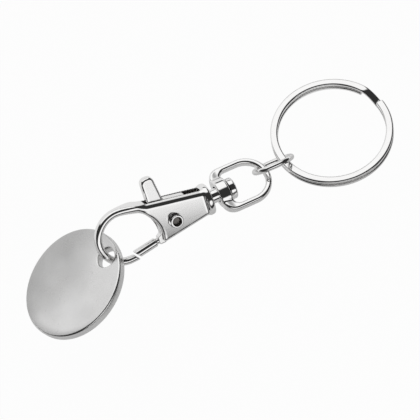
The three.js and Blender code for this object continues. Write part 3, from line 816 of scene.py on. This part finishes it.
def pivot_rivet_shape():
    seat = BODY_THICKNESS / 2 + SEAT_GAP
    top = seat + PIVOT_HEAD_HEIGHT
    tail = -seat - PIVOT_TAIL
    floor = top - PIVOT_RECESS_DEPTH
    profile = softened(
        [
            (AXIS_RADIUS, tail, 0),
            (PIVOT_HEAD, tail, PIVOT_TAIL_ROUND),
            (PIVOT_HEAD, -seat, SEAT_ROUND),
            (PIVOT_SHANK, -seat, SHANK_ROUND),
            (PIVOT_SHANK, seat, SHANK_ROUND),
            (PIVOT_HEAD_FOOT, seat, SEAT_ROUND),
            (PIVOT_HEAD, top, PIVOT_HEAD_ROUND / 2),
            (PIVOT_RECESS, top, PIVOT_RECESS_EDGE),
            (PIVOT_RECESS_FLOOR, floor, PIVOT_FLOOR_ROUND),
            (AXIS_RADIUS, floor, 0),
        ]
    )
    return lathe(profile)


def swivel_rivet_shape(dome_steps=16):
    seat = HUB_FRONT + SEAT_GAP
    top = seat + BUTTON_HEIGHT
    rim = seat + BUTTON_RIM
    end = COLLAR_FRONT - POST_INSET
    dome = []
    for i in range(1, dome_steps + 1):
        radius = cubic(BUTTON_RADIUS, BUTTON_RADIUS, BUTTON_FLAT, 0, i / dome_steps)
        dome.append((max(radius, AXIS_RADIUS), cubic(rim, top, top, top, i / dome_steps)))
    profile = softened(
        [
            (AXIS_RADIUS, end, 0),
            (POST_RADIUS, end, POST_END_ROUND),
            (POST_RADIUS, seat, POST_HEAD_FILLET),
            (BUTTON_RADIUS, seat, BUTTON_FOOT_ROUND),
            (BUTTON_RADIUS, rim, 0),
        ]
    )
    vertices, faces = lathe(profile + dome)
    return about_x(vertices), faces


def round_section(diameter, sides):
    return arc(0, 0, diameter / 2, 0, 360 * (sides - 1) / sides, sides - 1)


def rolled_section(width, height, power, sides=32):
    """The outline of a wire rolled flat: its crowned faces run smoothly into round edges."""
    angles = 2 * pi * np.arange(sides) / sides
    x, y = np.cos(angles), np.sin(angles)
    across = np.sign(x) * np.abs(x) ** (2 / power) * width / 2
    up = np.sign(y) * np.abs(y) ** (2 / power) * height / 2
    return list(zip(across, up))


def wound(places, sections):
    """Rings about Z: each place is an angle in degrees, a radius and a height."""
    rings = []
    for (angle, radius, height), section in zip(places, sections):
        x, y = cos(radians(angle)), sin(radians(angle))
        rings.append([((radius + a) * x, (radius + a) * y, height + b) for a, b in section])
    return skin(rings)


def eased_sections(section, count, wire):
    """The sections of a swept wire, smaller at both ends so that no cut edge is sharp."""
    shares = np.ones(count)
    shares[:2] = shares[-1:-3:-1] = [1 - ease / wire for ease in END_EASES]
    return [[(a * share, b * share) for a, b in section] for share in shares]


def eased_angles(first, last, count, step):
    """Even angles along a wound wire, with the second and third rings close to each end."""
    angles = np.linspace(first, last, count)
    for i in (1, 2):
        angles[i], angles[-1 - i] = first + i * step, last - i * step
    return angles


def jump_ring_shape(steps=180, sides=24):
    half = degrees(JUMP_SEAM / 2 / JUMP_RADIUS)
    first, last = JUMP_SEAM_ANGLE + half, JUMP_SEAM_ANGLE + 360 - half
    places = [(a, JUMP_RADIUS, 0) for a in eased_angles(first, last, steps, JUMP_EASE_ANGLE)]
    return wound(places, eased_sections(round_section(JUMP_WIRE, sides), steps, JUMP_WIRE))


def split_ring_shape(steps=700):
    layer = (SPLIT_WIRE_HEIGHT + SPLIT_TURN_GAP) / 2
    section = rolled_section(SPLIT_WIRE_WIDTH, SPLIT_WIRE_HEIGHT, SPLIT_WIRE_POWER)
    wound_so_far = eased_angles(0, SPLIT_TURNED, steps, SPLIT_EASE_ANGLE)
    heights = layer - 2 * layer * smooth(wound_so_far, 360 - SPLIT_RAMP, 360)
    places = [(SPLIT_END_ANGLE - a, SPLIT_RADIUS, h) for a, h in zip(wound_so_far, heights)]
    vertices, faces = wound(places, eased_sections(section, steps, SPLIT_WIRE_WIDTH))
    return vertices, [face[::-1] for face in faces]


def spring_shape(steps=48 * SPRING_TURNS, sides=12):
    radius = (SPRING_DIAMETER - SPRING_WIRE) / 2
    shares = np.linspace(0, 1, steps)
    places = [(360 * SPRING_TURNS * s, radius, mix(SPRING_BOTTOM, SPRING_TOP, s)) for s in shares]
    vertices, faces = wound(places, [round_section(SPRING_WIRE, sides)] * steps)
    along_y = np.stack((vertices[:, 1] - SPRING_REACH, vertices[:, 2], vertices[:, 0]), axis=1)
    return along_y, faces


def token_shape(steps=240, faces_across=10):
    """The disc as a closed row of circles: over its rim, across a face to the hole, and back."""
    outer, hole, under, bevel = TOKEN_DIAMETER / 2, TOKEN_HOLE / 2, -TOKEN_THICKNESS, TOKEN_BEVEL
    rim = softened([(0, 0, 0), (outer, 0, bevel), (outer, under, bevel), (0, under, 0)])
    wall = softened([(outer, under, 0), (hole, under, bevel), (hole, 0, bevel), (outer, 0, 0)])
    rim = [(TOKEN_HOLE_OFFSET, r, h) for r, h in rim[1:-1]]
    wall = [(0, r, h) for r, h in wall[1:-1]]
    shares = [i / faces_across for i in range(1, faces_across)]
    inward = [[mix(a, b, share) for a, b in zip(rim[-1], wall[0])] for share in shares]
    outward = [[mix(a, b, share) for a, b in zip(wall[-1], rim[0])] for share in shares]
    angles = 2 * pi * np.arange(steps) / steps
    circles = rim + inward + wall + outward
    rings = [[(c + r * cos(a), r * sin(a), h) for a in angles] for c, r, h in circles]
    vertices, faces = skin(rings, closed=True)
    return vertices, [face[::-1] for face in faces]


# Materials


class Nodes:
    """A short way to add shader nodes and join them."""

    def __init__(self, tree):
        self.tree = tree

    def add(self, kind, settings=None, **inputs):
        node = self.tree.nodes.new(kind)
        for name, value in (settings or {}).items():
            setattr(node, name, value)
        for name, value in inputs.items():
            socket = node.inputs[int(name[1:]) if name[1:].isdigit() else name.replace("_", " ")]
            if isinstance(value, bpy.types.NodeSocket):
                self.tree.links.new(value, socket)
            else:
                socket.default_value = value
        return node

    def math(self, operation, *values):
        inputs = {f"i{i}": value for i, value in enumerate(values)}
        return self.add("ShaderNodeMath", {"operation": operation}, **inputs).outputs[0]

    def ramp(self, value, from_low, from_high, to_low=0.0, to_high=1.0):
        settings = {"interpolation_type": "SMOOTHSTEP"}
        ends = {"From_Min": from_low, "From_Max": from_high, "To_Min": to_low, "To_Max": to_high}
        return self.add("ShaderNodeMapRange", settings, Value=value, **ends).outputs[0]

    def dot(self, vector, axis):
        node = self.add("ShaderNodeVectorMath", {"operation": "DOT_PRODUCT"}, i0=vector, i1=axis)
        return node.outputs["Value"]

    def noise(self, vector, scale, detail, roughness=0.55):
        inputs = {"Vector": vector, "Scale": scale, "Detail": detail, "Roughness": roughness}
        return self.add("ShaderNodeTexNoise", **inputs).outputs["Fac"]

    def blend(self, share, a, b):
        """The colour a, or b where the share is 1."""
        return self.add("ShaderNodeMix", {"data_type": "RGBA"}, i0=share, i6=a, i7=b).outputs[2]

    def weigh(self, share, a, b):
        """The value a, or b where the share is 1."""
        rest = self.math("SUBTRACT", 1.0, share)
        return self.math("ADD", self.math("MULTIPLY", a, rest), self.math("MULTIPLY", b, share))


def grey(level, warm=0.0):
    return (level, level * (1 - warm / 2), level * (1 - warm), 1)


def plated(name, level, smoothness, satin=None, painted_shade=None, relief=METAL_RELIEF):
    """Bright plating with cloudy gloss, hairline scratches and fine pits.

    Satin is a roughness and the axis that satin flat faces look along. Painted shade is how much
    darker the colour is painted, and the way and the band in which it darkens.
    """
    material = bpy.data.materials.new(name)
    material.use_nodes = True
    n = Nodes(material.node_tree)
    coordinates = n.add("ShaderNodeTexCoord")
    place = coordinates.outputs["Object"]
    cloud = n.noise(place, *CLOUD_NOISE)
    pits = n.noise(place, *PIT_NOISE)
    stretched = n.add("ShaderNodeMapping", i0=place, Scale=HAIRLINE_SCALE).outputs[0]
    lines = n.ramp(n.noise(stretched, *HAIRLINE_NOISE), *HAIRLINE_BAND)
    cool, warm = grey(level, CLOUD_WARMTHS[0]), grey(level * CLOUD_SHADE, CLOUD_WARMTHS[1])
    colour = n.blend(n.ramp(cloud, *CLOUD_BAND), cool, warm)
    scratched = grey(level * HAIRLINE_SHADE, HAIRLINE_WARMTH)
    colour = n.blend(n.math("MULTIPLY", lines, HAIRLINE_SHARE), colour, scratched)
    rough = n.ramp(cloud, *CLOUD_BAND, smoothness, smoothness * CLOUD_ROUGHER)
    rough = n.math("ADD", rough, n.math("MULTIPLY", lines, HAIRLINE_ROUGHER))
    if satin is not None:
        satin_level, satin_axis = satin
        facing = n.math("ABSOLUTE", n.dot(coordinates.outputs["Normal"], satin_axis))
        satin_rough = n.math("ADD", n.math("MULTIPLY", pits, SATIN_GRAIN), satin_level)
        rough = n.weigh(n.ramp(facing, *SATIN_BAND), rough, satin_rough)
    # Painted shade: the colour darkens towards black along a way across the piece, with an uneven
    # edge
    if painted_shade is not None:
        darker, way, band = painted_shade
        share = n.ramp(n.dot(place, way), *band)
        uneven = n.ramp(n.noise(place, *SHADE_NOISE), *SHADE_NOISE_BAND, -SHADE_UNEVEN, SHADE_UNEVEN)
        shaded_colour = n.blend(darker, colour, grey(0.0))
        colour = n.blend(n.math("ADD", share, uneven), shaded_colour, colour)
    shade_and_dull = n.add("ShaderNodeAttribute", {"attribute_name": "shade_and_dull"}).outputs["Fac"]
    # Painted shade in the hollows that the mask marks, and a rougher finish there
    colour = n.blend(shade_and_dull, colour, grey(HOLLOW_SHADE_LEVEL, HOLLOW_SHADE_WARMTH))
    rough = n.weigh(shade_and_dull, rough, DULL_ROUGHNESS)
    scratches = n.math("MULTIPLY", lines, HAIRLINE_HEIGHT)
    height = n.math("ADD", n.math("MULTIPLY", pits, PIT_HEIGHT), scratches)
    bump = n.add("ShaderNodeBump", Height=height, Strength=relief, Distance=RELIEF_DEPTH)
    shader = material.node_tree.nodes["Principled BSDF"]
    shader.inputs["Metallic"].default_value = 1
    links = material.node_tree.links
    links.new(colour, shader.inputs["Base Color"])
    links.new(rough, shader.inputs["Roughness"])
    links.new(bump.outputs[0], shader.inputs["Normal"])
    return material


def add_floor():
    """A pale floor that takes shadows, and that the camera and the metal see glow white."""
    half = FLOOR_HALF
    mesh = bpy.data.meshes.new("floor")
    corners = [(-half, -half, 0), (half, -half, 0), (half, half, 0), (-half, half, 0)]
    mesh.from_pydata(corners, [], [(0, 1, 2, 3)])
    floor = bpy.data.objects.new("floor", mesh)
    bpy.context.scene.collection.objects.link(floor)
    material = bpy.data.materials.new("floor")
    material.use_nodes = True
    tree = material.node_tree
    n = Nodes(tree)
    shader = tree.nodes["Principled BSDF"]
    shader.inputs["Base Color"].default_value = grey(FLOOR_LEVEL)
    shader.inputs["Roughness"].default_value = 1
    shader.inputs["Specular IOR Level"].default_value = 0
    glow = n.add("ShaderNodeEmission", Color=grey(1.0), Strength=1.0)
    rays = n.add("ShaderNodeLightPath").outputs
    mirrored = n.math("MAXIMUM", rays["Is Glossy Ray"], rays["Is Transmission Ray"])
    place = n.add("ShaderNodeTexCoord").outputs["Object"]
    glow_share = n.ramp(n.dot(place, ACROSS), *FLOOR_GLOW_BAND, *FLOOR_GLOW_SHARES)
    seen = n.math("MULTIPLY", rays["Is Camera Ray"], FLOOR_SEEN)
    seen = n.math("MAXIMUM", seen, n.math("MULTIPLY", mirrored, glow_share))
    both = n.add("ShaderNodeMixShader", i0=seen, i1=shader.outputs[0], i2=glow.outputs[0])
    tree.links.new(both.outputs[0], tree.nodes["Material Output"].inputs["Surface"])
    floor.data.materials.append(material)


def add_studio():
    """A white studio with dark parts that metal shows: every ray but the camera's sees them."""
    world = bpy.data.worlds.new("studio")
    bpy.context.scene.world = world
    world.use_nodes = True
    n = Nodes(world.node_tree)
    direction = n.add("ShaderNodeTexCoord").outputs["Generated"]
    dark = 0.0
    for fades in DARK_PARTS.values():
        part = 1.0
        for way, *ends in fades:
            part = n.math("MULTIPLY", part, n.ramp(n.dot(direction, way), *ends))
        dark = n.math("MAXIMUM", dark, part)
    camera_ray = n.add("ShaderNodeLightPath").outputs["Is Camera Ray"]
    share = n.math("MULTIPLY", dark, n.math("SUBTRACT", 1.0, camera_ray))
    background = world.node_tree.nodes["Background"]
    colour = n.blend(share, grey(1.0), grey(STUDIO_DARK))
    world.node_tree.links.new(colour, background.inputs["Color"])
    background.inputs["Strength"].default_value = 1


def slot_shade_and_dullness(vertices):
    """How far each vertex of the body lies in the slot, whose walls get painted shade and a rougher
    finish.
    """
    x, y, z = vertices.T
    outline = polygon_field(x, y, SLOT_OUTLINE)
    depth = -np.maximum(outline, slab(z, SLOT_HALF_WIDTH + SLOT_SHADE_MARGIN))
    drop = back_height(-x) - SLOT_SHADE_MARGIN - y
    return smooth(depth, *SLOT_SHADE_DEPTH) * smooth(drop, 0, SLOT_SHADE_DROP)


def recess_shade_and_dullness(vertices):
    """How far each vertex of the pivot rivet lies in its hollow head, which gets painted shade and
    a rougher finish.
    """
    depth = PIVOT_RECESS + PIVOT_SHADE_MARGIN - np.hypot(vertices[:, 0], vertices[:, 1])
    return smooth(depth, 0, PIVOT_SHADE_FADE) * (vertices[:, 2] > BODY_THICKNESS / 2)


def add_pieces():
    hook_y, hook_z = (tuple(HOOK.to_3x3().col[i]) for i in (1, 2))
    casting = plated("cast_chrome", *CAST_CHROME, satin=(CAST_SATIN, hook_z))
    turned = plated("turned_chrome", *TURNED_CHROME)
    wire = plated("wire_plating", *WIRE_PLATING)
    steel = plated("spring_wire", *SPRING_STEEL)
    # The token's colour gets painted shade, darker along one way across it
    token_shade = (TOKEN_DARKER, TOKEN_WAY, TOKEN_FADE)
    coin = plated("token_satin_and_shade", *TOKEN_FINISH, painted_shade=token_shade, relief=TOKEN_RELIEF)
    body = cast(body_field, *BODY_GRID)
    hollow = slot_shade_and_dullness(body[0])
    placed("hook_casting", body, HOOK, "hook", "hook_body", casting, hollow)
    gate = cast(gate_field, *GATE_GRID)
    placed("gate_casting", gate, HOOK, "gate", "gate_lever", casting)
    pivot = HOOK @ shift(-PIVOT_REACH, -PIVOT_DROP)
    rivet = pivot_rivet_shape()
    recess = recess_shade_and_dullness(rivet[0])
    placed("pivot_rivet_turned", rivet, pivot, "hook", "pivot_rivet", turned, recess)
    post = swivel_rivet_shape()
    placed("swivel_rivet_turned", post, HOOK, "hook", "swivel_rivet", turned)
    spring = spring_shape()
    coil = placed("gate_spring_coil", spring, HOOK, "hook", "gate_spring", steel)
    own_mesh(coil)
    eye = cast(eye_field, *EYE_GRID)
    placed("eye_casting", eye, EYE, "eye", "swivel_eye", turned)
    jump = jump_ring_shape()
    placed("jump_ring_wire", jump, JUMP, "jump_ring", "jump_ring", wire)
    split = split_ring_shape()
    placed("split_ring_coil", split, SPLIT, "split_ring", "split_ring", wire)
    placed("token_blank", token_shape(), TOKEN, "token", "token_disc", coin)


add_camera()
add_pieces()
add_floor()
add_studio()
bpy.context.scene.view_settings.view_transform = "Standard"
